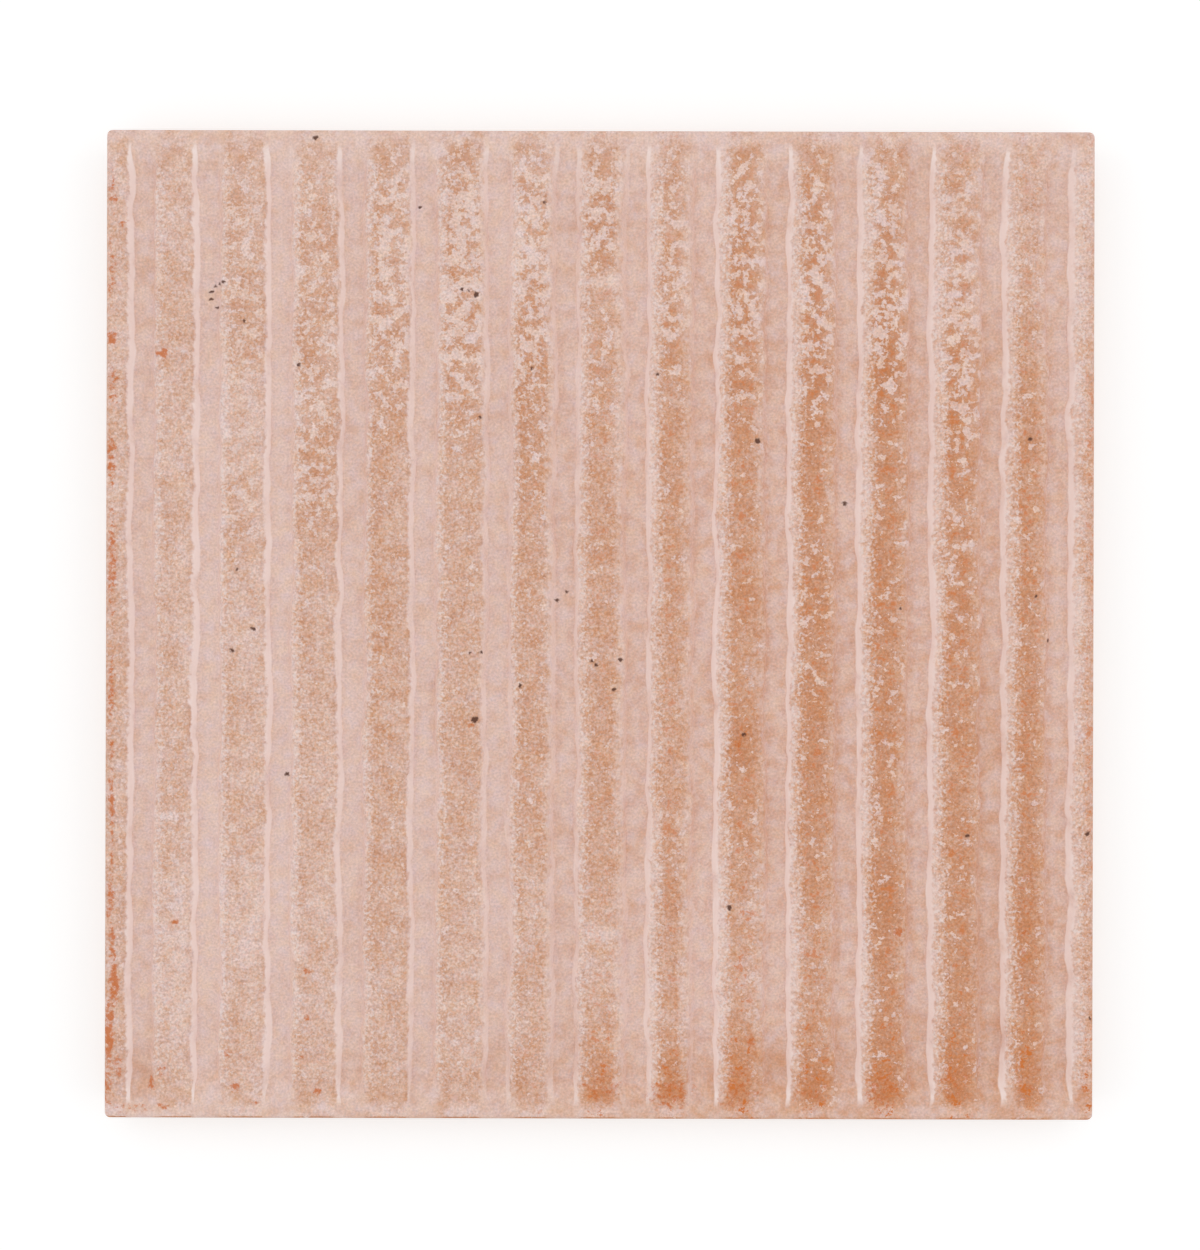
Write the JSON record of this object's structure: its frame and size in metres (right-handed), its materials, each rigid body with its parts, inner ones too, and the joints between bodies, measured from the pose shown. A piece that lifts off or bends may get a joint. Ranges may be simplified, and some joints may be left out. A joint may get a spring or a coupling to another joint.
{
  "type": "ribbed ceramic tile",
  "caption": "Square pressed ceramic tile with a matt mottled glaze, straight ribs and run-out grooves on its face, and a keyed back for adhesive.",
  "frame": {"origin": "middle of the tile's back, on the plane that beds on the adhesive", "axes": "+X across the ribs, +Y along the ribs, +Z out of the glazed face"},
  "size_m": [0.2, 0.2, 0.01],
  "materials": {
    "glaze": "satin-matt pale pink glaze, broken orange on the ribs, over a fired clay body"
  },
  "bodies": {
    "root": {"tile": "glaze"}
  },
  "joints": []
}
